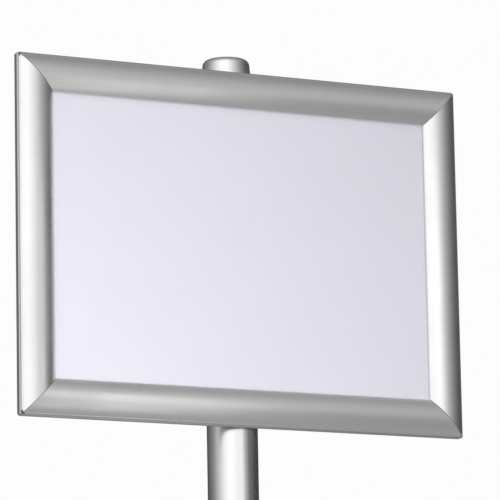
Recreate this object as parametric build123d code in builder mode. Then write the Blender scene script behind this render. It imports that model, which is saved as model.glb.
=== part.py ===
from build123d import *
from math import cos, radians, sin, sqrt
import os

# Floor-standing sign stand: an A4 landscape snap frame on a round post with a weighted base.
#
# Millimetres, +Z up, the sign faces -Y.  The origin is on the floor, on the post's axis.
#
# Every frame member is drawn once in its own section plane, where u runs inwards from the frame's
# outer edge and v runs forwards from the frame's back plane, and is placed on all four sides.

os.makedirs("parts", exist_ok=True)

# ---- driving dimensions --------------------------------------------------------------------------
TOTAL_HEIGHT = 1148.0
FRAME_WIDTH = 327.0
FRAME_HEIGHT = 240.0
PROFILE_WIDTH = 25.0
FRAME_DROP = 133.0          # from the top of the post cap down to the frame's centre

POST_RADIUS = 17.0
POST_WALL = 2.0
SADDLE_WEB = 1.0            # saddle material between the post and the frame's back

# snap profile section, (u, v)
FLANGE = 1.2
WALL = 0.8
WALL_TOP = 4.25
PIVOT_U = 1.9
PIVOT_V = 4.6
BEAD_RADIUS = 1.05
SOCKET_RADIUS = 1.10
SOCKET_WALL = 0.8
SOCKET_OPEN_FROM = 28.0     # degrees, from straight inwards towards the front
SOCKET_OPEN_TO = 200.0
SKIN = 1.2
SKIN_RADIUS = 17.6
CREST_U = 12.9
CREST_V = 9.8
NECK_ANGLE = 50.0
NECK_END_U = 4.6
SKIN_START_U = PIVOT_U - 0.1
LIP_BOTTOM = 3.6
LIP_WIDTH = 1.1
LIP_ROUND = 0.5
HEEL_U = 6.2
HEEL_WIDTH = 1.2
HEEL_BOTTOM = 5.5
MITRE_GAP = 0.15
BEAD_INSET = 3.2
CORNER_ROUND = 2.0

# channel for keys and springs, (u, v)
OUTER_RIB_U = 4.2
OUTER_RIB_WIDTH = 0.8
OUTER_RIB_TOP = 2.6
INNER_RIB_U = 13.2
INNER_RIB_WIDTH = 1.2
INNER_RIB_TOP = 4.2
HOOK_WIDTH = 1.2
HOOK_BOTTOM = 3.2
HOOK_TOP = 4.0

# sheets behind the lips
SHEET_MARGIN = 14.7
BACK_PANEL = 1.5
INSERT = 0.3
CLEAR_COVER = 0.5
INSERT_SIZE = (297.0, 210.0)

# corner keys and springs
KEY_WIDTH = 7.8
KEY_THICKNESS = 1.6
KEY_LEG = 34.0
KEY_EDGE_U = 5.2
KEY_CHAMFER = 1.2
SPRING_LENGTH = 18.0
SPRING_STRIP = 0.4
SPRING_STATION = 0.27       # of the member's length, each way from its middle
SPRING_BEND_RADIUS = 0.5
SPRING_FOOT = FLANGE + SPRING_STRIP / 2
SPRING_BENDS = (            # (u, v) from the foot on the flange to the curled free end
    (5.6, SPRING_FOOT),
    (12.6, SPRING_FOOT),
    (11.6, 2.9),
    (6.8, 5.0),
    (5.4, 4.6),
)

# frame fixings
SCREW_U = 9.1
SCREW_RADIUS = 1.95
SCREW_HEAD_RADIUS = 3.5
SCREW_HEAD = 2.0
SCREW_LENGTH = 12.0
SCREW_HOLE_RADIUS = 2.15
SADDLE_WIDTH = 34.0
SADDLE_HEIGHT = 20.0
SADDLE_DEPTH = 10.0
SADDLE_EDGE_U = 4.0
NUT_FLANGE_RADIUS = 4.0
NUT_FLANGE = 0.8
NUT_RADIUS = 2.95
NUT_LENGTH = 9.0
NUT_BORE = 2.0
NUT_BULGE_RADIUS = 3.8
NUT_BULGE = 1.6
NUT_HOLE_RADIUS = 3.0
NUT_BULGE_START = 2.6
SCREW_SOCKET_RADIUS = 1.4
SCREW_SOCKET_DEPTH = 1.2
SCREW_HEAD_ROUND = 0.6
SADDLE_RELIEF = 0.1
SADDLE_FIT = 0.05           # radial gap between a saddle and the post
SADDLE_CHAMFER = 0.5

# post cap
CAP_HEAD = 10.0
CAP_SKIRT_RADIUS = 16.4
CAP_TAPER = 5.0             # degrees
CAP_ROUND = 4.2
CAP_PLUG_RADIUS = 14.9
CAP_PLUG = 7.5
CAP_WALL = 2.0
CAP_LEAD_IN = 1.0

# base
BASE_RADIUS = 150.0
RING_SHELF = 3.0
RING_HEIGHT = 7.0
RING_BORE = 138.0
RING_LIP = 1.5
COVER_RADIUS = 148.4
COVER_WALL = 1.0
COVER_RIM_TOP = 16.0
COVER_ROUND = 6.0
COVER_CLEARANCE = 0.3
DOME_CROWN = 1.6
HUB_RADIUS = 29.0
HUB_TOP = 25.0
WEIGHT_GAP = 0.3
POCKET_RADIUS = 17.0
POCKET_TOP = 13.0

# collar and foot fixing
COLLAR_RADIUS = 27.0
COLLAR_BORE = 17.1
COLLAR_HEIGHT = 12.0
COLLAR_ROUND = 8.0
FOOT_PLUG = 30.0
FOOT_PLUG_RADIUS = 14.95
FOOT_PLUG_CHAMFER = 1.0
FOOT_THREAD = 26.0
FOOT_THREAD_RADIUS = 6.05
BOLT_RADIUS = 6.0
BOLT_HOLE_RADIUS = 6.5
BOLT_HEAD_ACROSS = 19.0
BOLT_HEAD = 7.5
BOLT_LENGTH = 36.0
BOLT_TIP = 1.0
WASHER_RADIUS = 15.0
WASHER = 2.5

# ---- derived positions ---------------------------------------------------------------------------
FRAME_CENTRE = TOTAL_HEIGHT - FRAME_DROP
BACK_Y = -(POST_RADIUS + SADDLE_WEB)
POST_TOP = TOTAL_HEIGHT - CAP_HEAD
POST_BOTTOM = HUB_TOP - COVER_WALL - WEIGHT_GAP
POST_BORE = POST_RADIUS - POST_WALL
FORWARD = Vector(0, -1, 0)
HEXAGON = 6

LENGTHS = {"top": FRAME_WIDTH, "bottom": FRAME_WIDTH, "left": FRAME_HEIGHT, "right": FRAME_HEIGHT}
ACROSS = {"top": FRAME_HEIGHT, "bottom": FRAME_HEIGHT, "left": FRAME_WIDTH, "right": FRAME_WIDTH}
INWARD = {
    "top": Vector(0, 0, -1),
    "bottom": Vector(0, 0, 1),
    "left": Vector(1, 0, 0),
    "right": Vector(-1, 0, 0),
}


def edge_middle(side):
    """The middle of a side's outer edge, in the frame's back plane."""
    return Vector(0, BACK_Y, FRAME_CENTRE) - INWARD[side] * (ACROSS[side] / 2)


def section_plane(side):
    """Local x is u, local y is v, and the normal runs along the member."""
    inward = INWARD[side]
    return Plane(origin=edge_middle(side), x_dir=inward, z_dir=inward.cross(FORWARD))


def face_plane(side):
    """Local x runs along the member and local y is u, so a sketch here is a front view."""
    return Plane(origin=edge_middle(side), x_dir=INWARD[side].cross(FORWARD), z_dir=FORWARD)


FRAME_BACK = Plane(origin=(0, BACK_Y, FRAME_CENTRE), x_dir=(1, 0, 0), z_dir=(0, -1, 0))


def arc_height(u, radius):
    """Height v at u of an arc about the snap cover's centre of curvature."""
    return CREST_V - SKIN_RADIUS + sqrt(radius ** 2 - (u - CREST_U) ** 2)


def mitre_outline(length, gap):
    """Front view of one member, cut at 45 degrees, with a gap kept at each mitre."""
    half = length / 2 - gap
    Polygon(
        (-half, 0),
        (half, 0),
        (half - PROFILE_WIDTH, PROFILE_WIDTH),
        (-half + PROFILE_WIDTH, PROFILE_WIDTH),
        align=None,
    )


def save(solid, label):
    """Name a finished piece and write it to its own file."""
    solid.label = label
    export_step(solid, f"parts/{label}.step")


# ---- back rails: the fixed half of the snap profile ----------------------------------------------
def rail_section():
    """Flange, outer wall, hinge socket and the channel that holds keys and springs."""
    with Locations((PROFILE_WIDTH / 2, FLANGE / 2)):
        Rectangle(PROFILE_WIDTH, FLANGE)
    with Locations((WALL / 2, WALL_TOP / 2)):
        Rectangle(WALL, WALL_TOP)
    with Locations((PIVOT_U, PIVOT_V)):
        Circle(SOCKET_RADIUS + SOCKET_WALL)
        Circle(SOCKET_RADIUS, mode=Mode.SUBTRACT)
    reach = SOCKET_RADIUS + 2 * SOCKET_WALL
    middle = radians((SOCKET_OPEN_FROM + SOCKET_OPEN_TO) / 2)
    start = radians(SOCKET_OPEN_FROM)
    stop = radians(SOCKET_OPEN_TO)
    Polygon(
        (PIVOT_U, PIVOT_V),
        (PIVOT_U + reach * cos(start), PIVOT_V + reach * sin(start)),
        (PIVOT_U + 2 * reach * cos(middle), PIVOT_V + 2 * reach * sin(middle)),
        (PIVOT_U + reach * cos(stop), PIVOT_V + reach * sin(stop)),
        align=None,
        mode=Mode.SUBTRACT,
    )
    with Locations((OUTER_RIB_U + OUTER_RIB_WIDTH / 2, (FLANGE + OUTER_RIB_TOP) / 2)):
        Rectangle(OUTER_RIB_WIDTH, OUTER_RIB_TOP - FLANGE)
    with Locations((INNER_RIB_U + INNER_RIB_WIDTH / 2, (FLANGE + INNER_RIB_TOP) / 2)):
        Rectangle(INNER_RIB_WIDTH, INNER_RIB_TOP - FLANGE)
    with Locations((INNER_RIB_U - HOOK_WIDTH / 2, (HOOK_BOTTOM + HOOK_TOP) / 2)):
        Rectangle(HOOK_WIDTH, HOOK_TOP - HOOK_BOTTOM)


for side, length in LENGTHS.items():
    with BuildPart() as back_rail:
        with BuildSketch(section_plane(side)):
            rail_section()
        extrude(amount=length / 2, both=True)
        with BuildSketch(face_plane(side)):
            mitre_outline(length, 0)
        extrude(amount=CREST_V, mode=Mode.INTERSECT)
        with BuildSketch(FRAME_BACK):
            RectangleRounded(FRAME_WIDTH, FRAME_HEIGHT, CORNER_ROUND)
        extrude(amount=CREST_V, mode=Mode.INTERSECT)
        if side in ("top", "bottom"):
            with BuildSketch(face_plane(side)):
                with Locations((0, SCREW_U)):
                    Circle(SCREW_HOLE_RADIUS)
            extrude(amount=FLANGE, mode=Mode.SUBTRACT)
    save(back_rail.part, f"back_rail_{side}")


# ---- snap covers: the hinged, crowned half of the profile ----------------------------------------
def skin_section():
    """Crowned skin from the hinge bead to the lip, with the heel that the springs press on."""
    inner = SKIN_RADIUS - SKIN
    lip_u = PROFILE_WIDTH - LIP_WIDTH
    lip_top = (PROFILE_WIDTH, arc_height(PROFILE_WIDTH, SKIN_RADIUS))
    skin_start = (SKIN_START_U, arc_height(SKIN_START_U, SKIN_RADIUS))
    inner_lip = (lip_u, arc_height(lip_u, inner))
    neck_end = (NECK_END_U, arc_height(NECK_END_U, inner))
    neck = (
        PIVOT_U + BEAD_RADIUS * cos(radians(NECK_ANGLE)),
        PIVOT_V + BEAD_RADIUS * sin(radians(NECK_ANGLE)),
    )
    inside_bead = (SKIN_START_U, PIVOT_V + BEAD_RADIUS * sin(radians(NECK_ANGLE)))
    with BuildLine() as outline:
        ThreePointArc(skin_start, (CREST_U, CREST_V), lip_top)
        Polyline(lip_top, (PROFILE_WIDTH, LIP_BOTTOM), (lip_u, LIP_BOTTOM), inner_lip)
        ThreePointArc(inner_lip, (CREST_U, CREST_V - SKIN), neck_end)
        Polyline(neck_end, neck, inside_bead, skin_start)
    make_face(outline.edges())
    fillet(vertices().sort_by_distance(lip_top)[0], LIP_ROUND)
    heel_middle = HEEL_U + HEEL_WIDTH / 2
    heel_top = arc_height(heel_middle, inner) + SKIN / 2
    with Locations((heel_middle, (HEEL_BOTTOM + heel_top) / 2)):
        Rectangle(HEEL_WIDTH, heel_top - HEEL_BOTTOM)


for side, length in LENGTHS.items():
    with BuildPart() as snap_cover:
        with BuildSketch(section_plane(side)):
            skin_section()
        extrude(amount=length / 2, both=True)
        with BuildSketch(face_plane(side)):
            mitre_outline(length, MITRE_GAP)
        extrude(amount=CREST_V, mode=Mode.INTERSECT)
        with BuildSketch(FRAME_BACK):
            RectangleRounded(FRAME_WIDTH, FRAME_HEIGHT, CORNER_ROUND)
        extrude(amount=CREST_V, mode=Mode.INTERSECT)
        with BuildSketch(section_plane(side)):
            with Locations((PIVOT_U, PIVOT_V)):
                Circle(BEAD_RADIUS)
        extrude(amount=length / 2 - BEAD_INSET, both=True)
    save(snap_cover.part, f"snap_cover_{side}")


# ---- sheets held by the lips ---------------------------------------------------------------------
PANEL_SIZE = (FRAME_WIDTH - 2 * SHEET_MARGIN, FRAME_HEIGHT - 2 * SHEET_MARGIN)
SHEETS = {
    "back_panel": (FLANGE, BACK_PANEL, PANEL_SIZE),
    "insert_sheet": (FLANGE + BACK_PANEL, INSERT, INSERT_SIZE),
    "clear_cover": (FLANGE + BACK_PANEL + INSERT, CLEAR_COVER, PANEL_SIZE),
}
for label, (start, thickness, size) in SHEETS.items():
    with BuildPart() as sheet:
        with BuildSketch(FRAME_BACK.offset(start)):
            Rectangle(*size)
        extrude(amount=thickness)
    save(sheet.part, label)


# ---- corner keys: flat steel angles that join the rails ------------------------------------------
for vertical, rise in (("top", 1), ("bottom", -1)):
    for horizontal, run in (("left", -1), ("right", 1)):
        corner_x = run * (FRAME_WIDTH / 2 - KEY_EDGE_U)
        corner_z = rise * (FRAME_HEIGHT / 2 - KEY_EDGE_U)
        with BuildPart() as corner_key:
            with BuildSketch(FRAME_BACK.offset(FLANGE)):
                with Locations((corner_x - run * KEY_LEG / 2, corner_z - rise * KEY_WIDTH / 2)):
                    Rectangle(KEY_LEG, KEY_WIDTH)
                with Locations((corner_x - run * KEY_WIDTH / 2, corner_z - rise * KEY_LEG / 2)):
                    Rectangle(KEY_WIDTH, KEY_LEG)
            extrude(amount=KEY_THICKNESS)
            outer_edge = corner_key.edges().filter_by(Axis.Y).sort_by_distance(
                (run * FRAME_WIDTH, BACK_Y, FRAME_CENTRE + rise * FRAME_HEIGHT)
            )[0]
            chamfer(outer_edge, KEY_CHAMFER)
        save(corner_key.part, f"corner_key_{vertical}_{horizontal}")


# ---- snap springs: bent strips in the channel, under the covers' heels ---------------------------
SPRING_NAMES = {
    "top": ("right", "left"),
    "bottom": ("left", "right"),
    "left": ("upper", "lower"),
    "right": ("lower", "upper"),
}
for side, length in LENGTHS.items():
    for name, direction in zip(SPRING_NAMES[side], (-1, 1)):
        start = direction * SPRING_STATION * length - SPRING_LENGTH / 2
        with BuildPart() as spring:
            with BuildSketch(section_plane(side).offset(start)):
                with BuildLine():
                    FilletPolyline(*SPRING_BENDS, radius=SPRING_BEND_RADIUS)
                trace(line_width=SPRING_STRIP)
            extrude(amount=SPRING_LENGTH)
        save(spring.part, f"snap_spring_{side}_{name}")


# ---- saddles between the frame and the post ------------------------------------------------------
SCREW_HEIGHTS = {
    "upper": FRAME_CENTRE + FRAME_HEIGHT / 2 - SCREW_U,
    "lower": FRAME_CENTRE - FRAME_HEIGHT / 2 + SCREW_U,
}
SADDLE_OFFSET = SADDLE_EDGE_U + SADDLE_HEIGHT / 2
SADDLE_HEIGHTS = {
    "upper": FRAME_CENTRE + FRAME_HEIGHT / 2 - SADDLE_OFFSET,
    "lower": FRAME_CENTRE - FRAME_HEIGHT / 2 + SADDLE_OFFSET,
}


def screw_plane(level):
    """Plane on the frame's back at a fixing screw, with its normal towards the front."""
    return Plane(origin=(0, BACK_Y, SCREW_HEIGHTS[level]), x_dir=(1, 0, 0), z_dir=(0, -1, 0))


for level, height in SADDLE_HEIGHTS.items():
    with BuildPart() as saddle:
        with BuildSketch(Plane.XY.offset(height - SADDLE_HEIGHT / 2)):
            with Locations((0, BACK_Y + SADDLE_DEPTH / 2)):
                Rectangle(SADDLE_WIDTH, SADDLE_DEPTH)
            Circle(POST_RADIUS + SADDLE_FIT, mode=Mode.SUBTRACT)
        extrude(amount=SADDLE_HEIGHT)
        with BuildSketch(screw_plane(level)):
            Circle(NUT_FLANGE_RADIUS + SADDLE_RELIEF)
        extrude(amount=-SADDLE_DEPTH, mode=Mode.SUBTRACT)
        front_edges = saddle.faces().sort_by(Axis.Y)[0].edges().filter_by(GeomType.LINE)
        chamfer(front_edges, SADDLE_CHAMFER)
    save(saddle.part, f"saddle_{level}")


# ---- frame screws and the rivet nuts in the post -------------------------------------------------
with BuildPart() as frame_screws:
    for level in SCREW_HEIGHTS:
        with BuildSketch(screw_plane(level).offset(FLANGE)):
            Circle(SCREW_HEAD_RADIUS)
        extrude(amount=SCREW_HEAD)
        with BuildSketch(screw_plane(level).offset(FLANGE)):
            Circle(SCREW_RADIUS)
        extrude(amount=-SCREW_LENGTH)
        with BuildSketch(screw_plane(level).offset(FLANGE + SCREW_HEAD)):
            RegularPolygon(SCREW_SOCKET_RADIUS, HEXAGON)
        extrude(amount=-SCREW_SOCKET_DEPTH, mode=Mode.SUBTRACT)
    head_rims = frame_screws.faces().sort_by(Axis.Y)[:2].edges().filter_by(GeomType.CIRCLE)
    fillet(head_rims, SCREW_HEAD_ROUND)
save(frame_screws.part, "frame_screws")

with BuildPart() as rivet_nuts:
    for level in SCREW_HEIGHTS:
        with BuildSketch(screw_plane(level).offset(-SADDLE_WEB)):
            Circle(NUT_FLANGE_RADIUS)
        extrude(amount=NUT_FLANGE)
        with BuildSketch(screw_plane(level).offset(-SADDLE_WEB)):
            Circle(NUT_RADIUS)
        extrude(amount=-NUT_LENGTH)
        with BuildSketch(screw_plane(level).offset(-SADDLE_WEB - NUT_BULGE_START)):
            Circle(NUT_BULGE_RADIUS)
        extrude(amount=-NUT_BULGE)
        with BuildSketch(screw_plane(level)):
            Circle(NUT_BORE)
        extrude(amount=-SADDLE_WEB - NUT_LENGTH, mode=Mode.SUBTRACT)
save(rivet_nuts.part, "rivet_nuts")


# ---- post and its cap ----------------------------------------------------------------------------
with BuildPart() as post_tube:
    with BuildSketch(Plane.XY.offset(POST_BOTTOM)):
        Circle(POST_RADIUS)
        Circle(POST_BORE, mode=Mode.SUBTRACT)
    extrude(amount=POST_TOP - POST_BOTTOM)
    for level in SCREW_HEIGHTS:
        with BuildSketch(screw_plane(level)):
            Circle(NUT_HOLE_RADIUS)
        extrude(amount=-SADDLE_WEB - POST_RADIUS, mode=Mode.SUBTRACT)
save(post_tube.part, "post_tube")

with BuildPart() as post_cap:
    with BuildSketch(Plane.XY.offset(POST_TOP)):
        Circle(CAP_SKIRT_RADIUS)
    extrude(amount=CAP_HEAD, taper=CAP_TAPER)
    fillet(post_cap.faces().sort_by(Axis.Z)[-1].edges(), CAP_ROUND)
    with BuildSketch(Plane.XY.offset(POST_TOP - CAP_PLUG)):
        Circle(CAP_PLUG_RADIUS)
        Circle(CAP_PLUG_RADIUS - CAP_WALL, mode=Mode.SUBTRACT)
    extrude(amount=CAP_PLUG)
    plug_rim = post_cap.faces().sort_by(Axis.Z)[0].edges().sort_by(SortBy.RADIUS)[-1]
    chamfer(plug_rim, CAP_LEAD_IN)
save(post_cap.part, "post_cap")


# ---- base: floor ring, weight, spun cover and collar ---------------------------------------------
def dome_profile(inset):
    """Half section of the base's dome, drawn smaller by an inset for what lies under it."""
    rim = COVER_RADIUS - inset
    rim_top = (rim, COVER_RIM_TOP - inset)
    hub_edge = (HUB_RADIUS, HUB_TOP - inset)
    crown = ((rim + HUB_RADIUS) / 2, (COVER_RIM_TOP + HUB_TOP) / 2 + DOME_CROWN - inset)
    with BuildLine() as outline:
        Polyline((0, hub_edge[1]), (0, RING_SHELF), (rim, RING_SHELF), rim_top)
        ThreePointArc(rim_top, crown, hub_edge)
        Line(hub_edge, (0, hub_edge[1]))
    make_face(outline.edges())
    fillet(vertices().sort_by_distance(rim_top)[0], COVER_ROUND - inset)


with BuildPart() as floor_ring:
    with BuildSketch(Plane.XZ):
        with Locations(((BASE_RADIUS + RING_BORE) / 2, RING_SHELF / 2)):
            Rectangle(BASE_RADIUS - RING_BORE, RING_SHELF)
        with Locations((BASE_RADIUS - RING_LIP / 2, RING_HEIGHT / 2)):
            Rectangle(RING_LIP, RING_HEIGHT)
        fillet(vertices().sort_by_distance((BASE_RADIUS, RING_HEIGHT))[0], RING_LIP / 2)
        fillet(vertices().sort_by_distance((BASE_RADIUS, 0))[0], RING_LIP / 2)
    revolve(axis=Axis.Z)
save(floor_ring.part, "floor_ring")

with BuildPart() as base_cover:
    with BuildSketch(Plane.XZ):
        dome_profile(0)
    revolve(axis=Axis.Z)
    with BuildSketch(Plane.XZ):
        dome_profile(COVER_WALL)
    revolve(axis=Axis.Z, mode=Mode.SUBTRACT)
    with BuildSketch(Plane.XY):
        Circle(POST_RADIUS + COVER_CLEARANCE)
    extrude(amount=HUB_TOP, mode=Mode.SUBTRACT)
save(base_cover.part, "base_cover")

with BuildPart() as base_weight:
    with BuildSketch(Plane.XZ):
        dome_profile(COVER_WALL + WEIGHT_GAP)
    revolve(axis=Axis.Z)
    with BuildSketch(Plane.XY):
        Circle(BOLT_HOLE_RADIUS)
    extrude(amount=HUB_TOP, mode=Mode.SUBTRACT)
    with BuildSketch(Plane.XY):
        Circle(POCKET_RADIUS)
    extrude(amount=POCKET_TOP, mode=Mode.SUBTRACT)
save(base_weight.part, "base_weight")

with BuildPart() as post_collar:
    with BuildSketch(Plane.XZ):
        with Locations(((COLLAR_RADIUS + COLLAR_BORE) / 2, HUB_TOP + COLLAR_HEIGHT / 2)):
            Rectangle(COLLAR_RADIUS - COLLAR_BORE, COLLAR_HEIGHT)
        top_corner = (COLLAR_RADIUS, HUB_TOP + COLLAR_HEIGHT)
        fillet(vertices().sort_by_distance(top_corner)[0], COLLAR_ROUND)
    revolve(axis=Axis.Z)
save(post_collar.part, "post_collar")


# ---- what holds the post on the base -------------------------------------------------------------
with BuildPart() as foot_plug:
    with BuildSketch(Plane.XY.offset(POST_BOTTOM)):
        Circle(FOOT_PLUG_RADIUS)
    extrude(amount=FOOT_PLUG)
    with BuildSketch(Plane.XY.offset(POST_BOTTOM)):
        Circle(FOOT_THREAD_RADIUS)
    extrude(amount=FOOT_THREAD, mode=Mode.SUBTRACT)
    chamfer(foot_plug.faces().sort_by(Axis.Z)[-1].edges(), FOOT_PLUG_CHAMFER)
save(foot_plug.part, "foot_plug")

with BuildPart() as foot_washer:
    with BuildSketch(Plane.XY.offset(POCKET_TOP - WASHER)):
        Circle(WASHER_RADIUS)
        Circle(BOLT_HOLE_RADIUS, mode=Mode.SUBTRACT)
    extrude(amount=WASHER)
save(foot_washer.part, "foot_washer")

with BuildPart() as foot_bolt:
    with BuildSketch(Plane.XY.offset(POCKET_TOP - WASHER)):
        RegularPolygon(BOLT_HEAD_ACROSS / 2, HEXAGON, major_radius=False)
    extrude(amount=-BOLT_HEAD)
    with BuildSketch(Plane.XY.offset(POCKET_TOP - WASHER)):
        Circle(BOLT_RADIUS)
    extrude(amount=BOLT_LENGTH)
    chamfer(foot_bolt.faces().sort_by(Axis.Z)[-1].edges(), BOLT_TIP)
save(foot_bolt.part, "foot_bolt")
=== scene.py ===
from math import cos, radians, sin

import bpy
from mathutils import Matrix, Vector


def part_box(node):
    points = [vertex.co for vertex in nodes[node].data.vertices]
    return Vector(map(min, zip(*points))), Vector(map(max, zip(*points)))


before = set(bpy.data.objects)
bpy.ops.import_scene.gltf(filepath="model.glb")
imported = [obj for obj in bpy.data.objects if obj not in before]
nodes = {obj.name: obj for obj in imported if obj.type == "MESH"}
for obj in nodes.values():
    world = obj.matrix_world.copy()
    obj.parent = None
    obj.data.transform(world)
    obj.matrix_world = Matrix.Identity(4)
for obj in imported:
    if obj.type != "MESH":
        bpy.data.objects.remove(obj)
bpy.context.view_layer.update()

# ---- places read from the frame ------------------------------------------------------------
PANEL_LOW, PANEL_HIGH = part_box("back_panel")
RAIL_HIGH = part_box("back_rail_top")[1]
SIGN_CENTRE = Vector((0, RAIL_HIGH.y, (PANEL_LOW.z + PANEL_HIGH.z) / 2))
FILM_LOW, FILM_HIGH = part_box("clear_cover")
FILM_MIDDLE = (FILM_LOW.y + FILM_HIGH.y) / 2

# ---- camera ----------------------------------------------------------------------------------
CAMERA_AZIMUTH = -26.85     # degrees: from the left of the sign, and below it
CAMERA_ELEVATION = -10.63
CAMERA_ROLL = -1.07
CAMERA_DISTANCE = 2.762
CAMERA_LENS = 298.5
CAMERA_NEAR = 0.05
CAMERA_FAR = 200
AIM_RIGHT = 0.0059          # the picture's middle, from the sign's middle
AIM_DOWN = 0.0003


def camera_axes(azimuth, elevation, roll):
    """Right, up and back of a camera that looks at the sign from that side."""
    a, e, r = radians(azimuth), radians(elevation), radians(roll)
    back = Vector((sin(a) * cos(e), -cos(a) * cos(e), sin(e)))
    level = Vector((0, 0, 1)).cross(back).normalized()
    upright = back.cross(level)
    right = level * cos(r) + upright * sin(r)
    return right, back.cross(right), back


def make_camera():
    right, up, back = camera_axes(CAMERA_AZIMUTH, CAMERA_ELEVATION, CAMERA_ROLL)
    camera = bpy.data.objects.new("camera", bpy.data.cameras.new("camera"))
    bpy.context.scene.collection.objects.link(camera)
    camera.data.lens = CAMERA_LENS
    camera.data.clip_start = CAMERA_NEAR
    camera.data.clip_end = CAMERA_FAR
    centre = SIGN_CENTRE + right * AIM_RIGHT - up * AIM_DOWN
    turn = Matrix((right, up, back)).transposed().to_4x4()
    camera.matrix_world = Matrix.Translation(centre + back * CAMERA_DISTANCE) @ turn
    bpy.context.scene.camera = camera


make_camera()


# ---- node helpers ----------------------------------------------------------------------------
NOISE_LOW = 0.3             # most of a noise lies between these two
NOISE_HIGH = 0.7
BEVEL_SAMPLES = 6
EDGE_SHARP = 0.80           # how nearly the true and the rounded direction agree
EDGE_FLAT = 0.995


def add(tree, kind, settings=None, **sockets):
    """A new shader node, with its settings and its sockets filled by value or by link."""
    node = tree.nodes.new("ShaderNode" + kind)
    for key, value in (settings or {}).items():
        setattr(node, key, value)
    for key, value in sockets.items():
        fill(tree, node.inputs[key.replace("_", " ")], value)
    return node


def fill(tree, socket, value):
    if isinstance(value, bpy.types.NodeSocket):
        tree.links.new(value, socket)
    else:
        socket.default_value = value


def calc(tree, operation, first, second=0.0):
    node = add(tree, "Math", {"operation": operation})
    for socket, value in zip(node.inputs, (first, second)):
        fill(tree, socket, value)
    return node.outputs[0]


def ramp(tree, factor, stops):
    """A colour ramp with two stops: (position, grey) or (position, (r, g, b))."""
    node = tree.nodes.new("ShaderNodeValToRGB")
    for element, (position, tone) in zip(node.color_ramp.elements, stops):
        element.position = position
        shade = (tone, tone, tone) if isinstance(tone, (int, float)) else tone
        element.color = (*shade, 1)
    tree.links.new(factor, node.inputs["Fac"])
    return node.outputs["Color"]


def spread(tree, value, low, high, from_low=0.0, from_high=1.0):
    node = tree.nodes.new("ShaderNodeMapRange")
    for key, number in (("From Min", from_low), ("From Max", from_high), ("To Min", low), ("To Max", high)):
        node.inputs[key].default_value = number
    tree.links.new(value, node.inputs["Value"])
    return node.outputs["Result"]


def noise_tones(tree, value, dark, light):
    """A colour between two tones that follows a noise."""
    return ramp(tree, value, [(NOISE_LOW, dark), (NOISE_HIGH, light)])


def noise_spread(tree, value, low, high):
    """A number between two limits that follows a noise."""
    return spread(tree, value, low, high, NOISE_LOW, NOISE_HIGH)


def blend_colours(tree, factor, first, second, how="MIX"):
    node = add(tree, "Mix", {"data_type": "RGBA", "blend_type": how})
    fill(tree, node.inputs["Factor"], factor)
    fill(tree, node.inputs["A"], first)
    fill(tree, node.inputs["B"], second)
    return node.outputs["Result"]


def place(tree, stretch=(1, 1, 1)):
    """The piece's own coordinates in metres, stretched."""
    coordinates = add(tree, "TexCoord").outputs["Object"]
    return add(tree, "Mapping", Vector=coordinates, Scale=stretch).outputs["Vector"]


def noise(tree, scale, detail=3.0, rough=0.5, stretch=(1, 1, 1)):
    node = add(tree, "TexNoise", Vector=place(tree, stretch), Scale=scale, Detail=detail, Roughness=rough)
    return node.outputs["Fac"]


def bump(tree, height, strength, distance, normal=None):
    node = add(tree, "Bump", Height=height, Strength=strength, Distance=distance)
    if normal is not None:
        tree.links.new(normal, node.inputs["Normal"])
    return node.outputs["Normal"]


def rounded_normal(tree, radius):
    """The surface's direction, with sharp edges rounded off."""
    return add(tree, "Bevel", {"samples": BEVEL_SAMPLES}, Radius=radius).outputs["Normal"]


def edge_mask(tree, radius):
    """1 on sharp edges and 0 elsewhere."""
    flat_normal = add(tree, "NewGeometry").outputs["Normal"]
    dot = add(tree, "VectorMath", {"operation": "DOT_PRODUCT"})
    tree.links.new(rounded_normal(tree, radius), dot.inputs[0])
    tree.links.new(flat_normal, dot.inputs[1])
    return spread(tree, dot.outputs["Value"], 1.0, 0.0, EDGE_SHARP, EDGE_FLAT)


def new_material(name):
    material = bpy.data.materials.new(name)
    material.use_nodes = True
    tree = material.node_tree
    shader = tree.nodes["Principled BSDF"]
    return material, tree, shader


def grain_direction(tree, direction):
    """A direction fixed in the piece, as a tangent in the world."""
    settings = {"vector_type": "VECTOR", "convert_from": "OBJECT", "convert_to": "WORLD"}
    return add(tree, "VectorTransform", settings, Vector=direction).outputs["Vector"]


def darker(tone, share):
    return tuple(t * share for t in tone)


def make_metal(tree, shader, spread_out, tangent):
    """Bare metal whose shine spreads across the grain that the tangent gives."""
    shader.inputs["Metallic"].default_value = 1.0
    shader.inputs["Anisotropic"].default_value = spread_out
    shader.inputs["Anisotropic Rotation"].default_value = ACROSS_GRAIN
    tree.links.new(tangent, shader.inputs["Tangent"])


# ---- materials -------------------------------------------------------------------------------
ACROSS_GRAIN = 0.25         # a quarter turn: the shine spreads across the grain
GRAIN_AXES = {"X": (1, 0, 0), "Z": (0, 0, 1)}
GRAIN_STRETCH = 0.012       # a noise along the grain, against 1 across it


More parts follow.
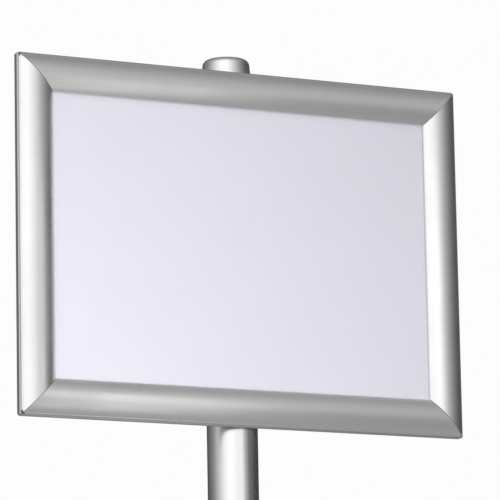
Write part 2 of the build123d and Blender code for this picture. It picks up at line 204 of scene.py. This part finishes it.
def anodised(name, along, tone, roughness, spread_out=0.55):
    """Satin anodised extrusion, with die lines along its length and soft handling marks."""
    material, tree, shader = new_material(name)
    stretch = tuple(GRAIN_STRETCH if axis == along else 1.0 for axis in "XYZ")
    lines = noise(tree, 3200, 4.0, 0.65, stretch)
    wide_lines = noise(tree, 420, 2.0, 0.5, stretch)
    blotch = noise(tree, 22, 3.0, 0.6)
    speck = noise(tree, 5200, 2.0, 0.5)
    edge = edge_mask(tree, 0.0004)
    base = noise_tones(tree, lines, darker(tone, 0.95), tone)
    dulled = blend_colours(tree, spread(tree, blotch, 0.0, 0.10, 0.35, 0.75), base, (0.62, 0.63, 0.65, 1))
    # painted highlight: the colour turns paler along sharp edges, as if rounded edges caught the light
    painted_edge_highlight = blend_colours(tree, calc(tree, "MULTIPLY", edge, 0.35), dulled, (0.93, 0.93, 0.94, 1))
    tree.links.new(painted_edge_highlight, shader.inputs["Base Color"])
    broad = noise_spread(tree, blotch, roughness - 0.03, roughness + 0.04)
    satin = calc(tree, "ADD", broad, noise_spread(tree, speck, -0.025, 0.025))
    wear_and_edge_light = calc(tree, "SUBTRACT", satin, calc(tree, "MULTIPLY", edge, 0.06))
    tree.links.new(wear_and_edge_light, shader.inputs["Roughness"])
    relief = calc(tree, "ADD", lines, calc(tree, "MULTIPLY", wide_lines, 1.5))
    relief = calc(tree, "ADD", relief, calc(tree, "MULTIPLY", speck, 0.5))
    soft_edges = rounded_normal(tree, 0.00025)
    tree.links.new(bump(tree, relief, 0.25, 0.000012, soft_edges), shader.inputs["Normal"])
    make_metal(tree, shader, spread_out, grain_direction(tree, GRAIN_AXES[along]))
    return material


def turned(name, tone, roughness, spread_out=0.5, pitch=2600):
    """Metal turned on a lathe: fine rings about the upright axis."""
    material, tree, shader = new_material(name)
    coordinates = add(tree, "TexCoord").outputs["Object"]
    parts = add(tree, "SeparateXYZ", Vector=coordinates)
    squares = calc(tree, "ADD", calc(tree, "MULTIPLY", parts.outputs["X"], parts.outputs["X"]),
                   calc(tree, "MULTIPLY", parts.outputs["Y"], parts.outputs["Y"]))
    radius = calc(tree, "SQRT", squares)
    joined = add(tree, "CombineXYZ", X=radius, Z=parts.outputs["Z"]).outputs["Vector"]
    rings = add(tree, "TexNoise", Vector=joined, Scale=pitch, Detail=3.0, Roughness=0.6).outputs["Fac"]
    blotch = noise(tree, 45, 3.0, 0.6)
    edge = edge_mask(tree, 0.0005)
    base = noise_tones(tree, rings, darker(tone, 0.93), tone)
    dulled = blend_colours(tree, spread(tree, blotch, 0.0, 0.10, 0.35, 0.75), base, (0.60, 0.60, 0.62, 1))
    # painted highlight: the colour turns paler along sharp edges, as if rounded edges caught the light
    painted_edge_highlight = blend_colours(tree, calc(tree, "MULTIPLY", edge, 0.4), dulled, (0.94, 0.94, 0.95, 1))
    tree.links.new(painted_edge_highlight, shader.inputs["Base Color"])
    broad = noise_spread(tree, blotch, roughness - 0.03, roughness + 0.04)
    satin = calc(tree, "ADD", broad, noise_spread(tree, rings, -0.03, 0.03))
    tree.links.new(satin, shader.inputs["Roughness"])
    soft_edges = rounded_normal(tree, 0.0003)
    tree.links.new(bump(tree, rings, 0.3, 0.00002, soft_edges), shader.inputs["Normal"])
    tangent = add(tree, "Tangent", {"direction_type": "RADIAL", "axis": "Z"}).outputs["Tangent"]
    make_metal(tree, shader, spread_out, tangent)
    return material


def paper(name):
    """Blank sheet: pale violet-grey stock with faint fibres."""
    material, tree, shader = new_material(name)
    fibres = noise(tree, 420, 5.0, 0.6, (1, 1, 0.55))
    clouds = noise(tree, 14, 2.0, 0.5)
    base = ramp(tree, fibres, [(0.25, (0.742, 0.734, 0.812)), (0.75, (0.764, 0.755, 0.829))])
    shade = noise_tones(tree, clouds, 0.99, 1.0)
    tree.links.new(blend_colours(tree, 1.0, base, shade, "MULTIPLY"), shader.inputs["Base Color"])
    tree.links.new(noise_spread(tree, fibres, 0.78, 0.92), shader.inputs["Roughness"])
    tree.links.new(bump(tree, fibres, 0.2, 0.00002), shader.inputs["Normal"])
    shader.inputs["Specular IOR Level"].default_value = 0.3
    return material


def clear_film(name):
    """Clear anti-glare sheet: nearly invisible straight on, with a soft shine at a glance.

    Only its front face shines; its back face lies against the sign and can't be seen.
    """
    material, tree, shader = new_material(name)
    texture = noise(tree, 700, 3.0, 0.5)
    smudge = noise(tree, 30, 3.0, 0.6)
    glance = add(tree, "LayerWeight", Blend=0.25).outputs["Facing"]
    depth = add(tree, "SeparateXYZ", Vector=add(tree, "NewGeometry").outputs["Position"]).outputs["Y"]
    front = calc(tree, "LESS_THAN", depth, FILM_MIDDLE)
    shine = calc(tree, "MULTIPLY", spread(tree, glance, 0.06, 0.75), front)
    tree.links.new(shine, shader.inputs["Alpha"])
    base = noise_tones(tree, smudge, (0.90, 0.90, 0.94), (0.93, 0.93, 0.96))
    tree.links.new(base, shader.inputs["Base Color"])
    tree.links.new(noise_spread(tree, smudge, 0.22, 0.32), shader.inputs["Roughness"])
    tree.links.new(bump(tree, texture, 0.15, 0.00002), shader.inputs["Normal"])
    return material


def board(name):
    """Grained polystyrene backing board."""
    material, tree, shader = new_material(name)
    grain = noise(tree, 1400, 4.0, 0.6)
    streak = noise(tree, 60, 3.0, 0.5, (1, 1, 0.08))
    scuff = ramp(tree, noise(tree, 90, 5.0, 0.75), [(0.60, 0.0), (0.72, 1.0)])
    base = noise_tones(tree, streak, (0.145, 0.147, 0.155), (0.175, 0.177, 0.185))
    wear_and_edge_light = blend_colours(tree, calc(tree, "MULTIPLY", scuff, 0.25), base, (0.27, 0.27, 0.28, 1))
    tree.links.new(wear_and_edge_light, shader.inputs["Base Color"])
    tree.links.new(noise_spread(tree, grain, 0.48, 0.62), shader.inputs["Roughness"])
    tree.links.new(bump(tree, grain, 0.5, 0.00006), shader.inputs["Normal"])
    return material


def moulded(name, tone, roughness, grain_scale, depth):
    """Moulded plastic or rubber with a fine texture, and a painted highlight that makes its edges paler."""
    material, tree, shader = new_material(name)
    grain = noise(tree, grain_scale, 3.0, 0.6)
    blotch = noise(tree, 60, 3.0, 0.6)
    edge = edge_mask(tree, 0.0006)
    base = noise_tones(tree, blotch, darker(tone, 0.8), tone)
    # painted highlight: a paler tone laid along sharp edges, broken up by the grain
    wear_and_edge_light = tuple(t * 1.9 + 0.02 for t in tone)
    edge_highlight = calc(tree, "MULTIPLY", edge, spread(tree, grain, 0.1, 0.7, 0.35, 0.65))
    worn_and_edge_lit = blend_colours(tree, edge_highlight, base, (*wear_and_edge_light, 1))
    tree.links.new(worn_and_edge_lit, shader.inputs["Base Color"])
    tree.links.new(noise_spread(tree, grain, roughness - 0.06, roughness + 0.08), shader.inputs["Roughness"])
    soft_edges = rounded_normal(tree, 0.0004)
    tree.links.new(bump(tree, grain, 0.5, depth, soft_edges), shader.inputs["Normal"])
    return material


def plated(name, tone, tint, roughness):
    """Plated or blued steel: a faint crystal pattern with a second tint, and a painted highlight that
    brightens its edges.
    """
    material, tree, shader = new_material(name)
    cells = add(tree, "TexVoronoi", Vector=place(tree), Scale=900.0).outputs["Color"]
    patch = noise(tree, 140, 3.0, 0.6)
    edge = edge_mask(tree, 0.0003)
    cell_tone = add(tree, "RGBToBW", Color=cells).outputs["Val"]
    base = ramp(tree, cell_tone, [(0.2, darker(tone, 0.88)), (0.8, tone)])
    tinted = blend_colours(tree, spread(tree, patch, 0.0, 0.45, 0.4, 0.7), base, (*tint, 1))
    # painted highlight: the colour turns paler along sharp edges, as if rounded edges caught the light
    painted_edge_highlight = blend_colours(tree, calc(tree, "MULTIPLY", edge, 0.5), tinted, (0.8, 0.8, 0.8, 1))
    tree.links.new(painted_edge_highlight, shader.inputs["Base Color"])
    tree.links.new(spread(tree, cell_tone, roughness - 0.06, roughness + 0.08), shader.inputs["Roughness"])
    soft_edges = rounded_normal(tree, 0.0002)
    tree.links.new(bump(tree, patch, 0.3, 0.00003, soft_edges), shader.inputs["Normal"])
    shader.inputs["Metallic"].default_value = 1.0
    return material


def cast_iron(name):
    """Black-painted casting: a sandy skin with rubbed high spots."""
    material, tree, shader = new_material(name)
    sand = noise(tree, 700, 5.0, 0.7)
    lumps = noise(tree, 90, 4.0, 0.6)
    worn_and_edge_lit = ramp(tree, sand, [(0.62, 0.0), (0.74, 1.0)])
    base = noise_tones(tree, lumps, (0.020, 0.020, 0.022), (0.040, 0.040, 0.043))
    wear_and_edge_light = blend_colours(tree, calc(tree, "MULTIPLY", worn_and_edge_lit, 0.5), base, (0.13, 0.115, 0.10, 1))
    tree.links.new(wear_and_edge_light, shader.inputs["Base Color"])
    tree.links.new(noise_spread(tree, sand, 0.5, 0.72), shader.inputs["Roughness"])
    relief = calc(tree, "ADD", sand, calc(tree, "MULTIPLY", lumps, 2.0))
    tree.links.new(bump(tree, relief, 0.6, 0.0003), shader.inputs["Normal"])
    return material


COVER_ALUMINIUM = (0.90, 0.90, 0.905)
# painted shade: the back rails take a darker copy of the cover aluminium, standing in for the shade on their
# recessed side walls
RAIL_ALUMINIUM_SHADE_DARKENED = (0.60, 0.603, 0.61)
covers_flat = anodised("cover_aluminium_level", "X", COVER_ALUMINIUM, 0.30)
covers_upright = anodised("cover_aluminium_upright", "Z", COVER_ALUMINIUM, 0.30)
rails_flat = anodised("rail_aluminium_level_shaded", "X", RAIL_ALUMINIUM_SHADE_DARKENED, 0.38)
rails_upright = anodised("rail_aluminium_upright_shaded", "Z", RAIL_ALUMINIUM_SHADE_DARKENED, 0.38)
post_metal = anodised("post_metal", "Z", (0.88, 0.88, 0.885), 0.24, 0.6)
cap_metal = turned("cap_metal", (0.92, 0.92, 0.925), 0.22)
collar_metal = turned("collar_metal", (0.86, 0.86, 0.865), 0.24)
base_metal = turned("base_metal", (0.84, 0.84, 0.845), 0.30, pitch=1500)
zinc = plated("zinc_plate", (0.70, 0.71, 0.73), (0.62, 0.66, 0.74), 0.34)
spring_steel = plated("spring_steel", (0.30, 0.31, 0.35), (0.34, 0.30, 0.27), 0.30)
sign_paper = paper("sign_paper")
film = clear_film("clear_film")
panel_board = board("panel_board")
nylon = moulded("saddle_nylon", (0.022, 0.022, 0.024), 0.46, 2600, 0.00003)
rubber = moulded("floor_rubber", (0.020, 0.020, 0.021), 0.66, 1500, 0.00006)
iron = cast_iron("weight_iron")

FINISHES = {
    "back_panel": panel_board,
    "insert_sheet": sign_paper,
    "clear_cover": film,
    "saddle_upper": nylon,
    "saddle_lower": nylon,
    "frame_screws": zinc,
    "rivet_nuts": zinc,
    "post_tube": post_metal,
    "post_cap": cap_metal,
    "floor_ring": rubber,
    "base_cover": base_metal,
    "base_weight": iron,
    "post_collar": collar_metal,
    "foot_plug": zinc,
    "foot_washer": zinc,
    "foot_bolt": zinc,
}
for side in ("top", "bottom"):
    FINISHES[f"snap_cover_{side}"] = covers_flat
    FINISHES[f"back_rail_{side}"] = rails_flat
for side in ("left", "right"):
    FINISHES[f"snap_cover_{side}"] = covers_upright
    FINISHES[f"back_rail_{side}"] = rails_upright
for name, node in nodes.items():
    if name.startswith("corner_key"):
        FINISHES[name] = zinc
    if name.startswith("snap_spring"):
        FINISHES[name] = spring_steel
    for material_slot in node.material_slots:
        material_slot.material = FINISHES[name]


# ---- floor, light and background -----------------------------------------------------------
FLOOR_HALF = 40.0
WATTS_PER_RADIANCE = 4      # an area light needs this for each square metre
PANEL_AT = SIGN_CENTRE + Vector((0.11, -0.41, -0.20))
KEY_AT = SIGN_CENTRE + Vector((-0.35, -0.6, -0.2))
OVERHEAD_AT = Vector((0.3, 1.3, 2.7))
OVERHEAD_AIM = Vector((0.2, 0.6, 0))
BACKDROP = (0.98, 0.98, 0.98, 1)


def make_floor():
    mesh = bpy.data.meshes.new("floor")
    h = FLOOR_HALF
    mesh.from_pydata([(-h, -h, 0), (h, -h, 0), (h, h, 0), (-h, h, 0)], [], [(0, 1, 2, 3)])
    floor = bpy.data.objects.new("floor", mesh)
    bpy.context.scene.collection.objects.link(floor)
    material, tree, shader = new_material("floor_paint")
    mottle = noise(tree, 1.2, 3.0, 0.5)
    tree.links.new(noise_tones(tree, mottle, 0.64, 0.67), shader.inputs["Base Color"])
    tree.links.new(spread(tree, mottle, 0.55, 0.65), shader.inputs["Roughness"])
    mesh.materials.append(material)


def softbox(name, at, aim, width, height, radiance, mirrored=True):
    """A rectangular light of a given brightness that the camera doesn't see."""
    data = bpy.data.lights.new(name, "AREA")
    data.shape = "RECTANGLE"
    data.size = width
    data.size_y = height
    data.energy = radiance * width * height * WATTS_PER_RADIANCE
    light = bpy.data.objects.new(name, data)
    bpy.context.scene.collection.objects.link(light)
    light.location = at
    light.rotation_mode = "QUATERNION"
    light.rotation_quaternion = (aim - at).to_track_quat("-Z", "Y")
    light.visible_camera = False
    light.visible_glossy = mirrored


def lean(tree, direction, towards, power):
    """How far a direction points towards another: 1 straight at it, 0 from square to it on."""
    node = add(tree, "VectorMath", {"operation": "DOT_PRODUCT"})
    tree.links.new(direction, node.inputs[0])
    node.inputs[1].default_value = Vector(towards).normalized()
    return calc(tree, "POWER", calc(tree, "MAXIMUM", node.outputs["Value"], 0.0), power)


WORLD_BASE = 0.015
WORLD_LOBES = (             # direction, power, brightness
    ((-1.0, 0.0, 0.0), 1.0, 0.20),
    ((-1.0, -1.0, 0.0), 2.0, 0.86),
    ((0.0, -1.0, 0.15), 2.0, 0.45),
    ((0.0, 0.0, 1.0), 1.0, 0.26),
)


def make_world():
    """A soft studio surround, brightest at the left front, before a near-white backdrop."""
    world = bpy.data.worlds.new("studio")
    bpy.context.scene.world = world
    world.use_nodes = True
    tree = world.node_tree
    tree.nodes.clear()
    direction = add(tree, "TexCoord").outputs["Generated"]
    tone = WORLD_BASE
    for towards, power, brightness in WORLD_LOBES:
        lobe = calc(tree, "MULTIPLY", lean(tree, direction, towards, power), brightness)
        tone = calc(tree, "ADD", lobe, tone)
    grey = add(tree, "CombineColor", Red=tone, Green=tone, Blue=tone).outputs["Color"]
    surround = add(tree, "Background", Color=grey)
    backdrop = add(tree, "Background", Color=BACKDROP)
    seen = add(tree, "LightPath").outputs["Is Camera Ray"]
    mixed = add(tree, "MixShader", Fac=seen)
    tree.links.new(surround.outputs["Background"], mixed.inputs[1])
    tree.links.new(backdrop.outputs["Background"], mixed.inputs[2])
    output = add(tree, "OutputWorld")
    tree.links.new(mixed.outputs["Shader"], output.inputs["Surface"])


def make_lights():
    """A dim panel that the level covers mirror, and two lights that only matt surfaces take up."""
    softbox("panel", PANEL_AT, PANEL_AT + Vector((0, 1, 0)), 0.16, 0.66, 0.36)
    softbox("key", KEY_AT, SIGN_CENTRE, 0.4, 0.4, 4.8, mirrored=False)
    softbox("overhead", OVERHEAD_AT, OVERHEAD_AIM, 2.4, 2.4, 0.5, mirrored=False)


make_floor()
make_world()
make_lights()
bpy.context.scene.view_settings.view_transform = "Standard"
